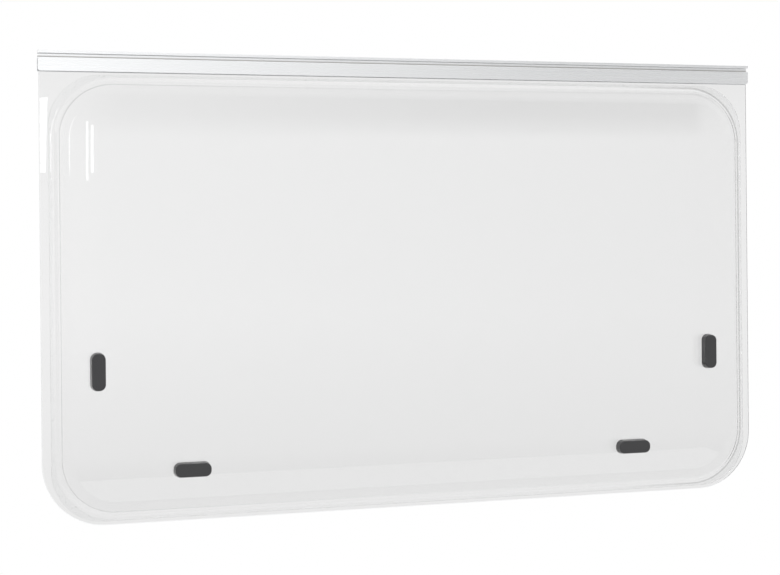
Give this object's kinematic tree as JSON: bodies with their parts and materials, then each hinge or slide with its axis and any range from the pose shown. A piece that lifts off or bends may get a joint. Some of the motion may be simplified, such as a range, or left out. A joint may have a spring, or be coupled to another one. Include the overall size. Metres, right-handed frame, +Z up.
{
  "type": "caravan window sash",
  "caption": "Top-hung clear double-sheet caravan window sash with an aluminium hinge rail and dark latch blocks on the room side.",
  "frame": {"origin": "middle of the hinge rail's flat inner face", "axes": "+Z up, +X along the rail, -Y towards the room"},
  "size_m": [1, 0.0247, 0.6],
  "materials": {
    "clear_acrylic": "polished clear",
    "bond": "clear",
    "rail_metal": "satin anodised",
    "bedding": "matt",
    "block_plastic": "fine grained",
    "pad": "matt"
  },
  "bodies": {
    "root": {"outer_sheet": "clear_acrylic", "inner_sheet": "clear_acrylic", "sheet_bond": "bond", "hinge_rail": "rail_metal", "rail_bedding": "bedding", "latch_block_left": "block_plastic", "latch_block_right": "block_plastic", "latch_block_low_left": "block_plastic", "latch_block_low_right": "block_plastic", "latch_pad_left": "pad", "latch_pad_right": "pad", "latch_pad_low_left": "pad", "latch_pad_low_right": "pad"}
  },
  "joints": []
}
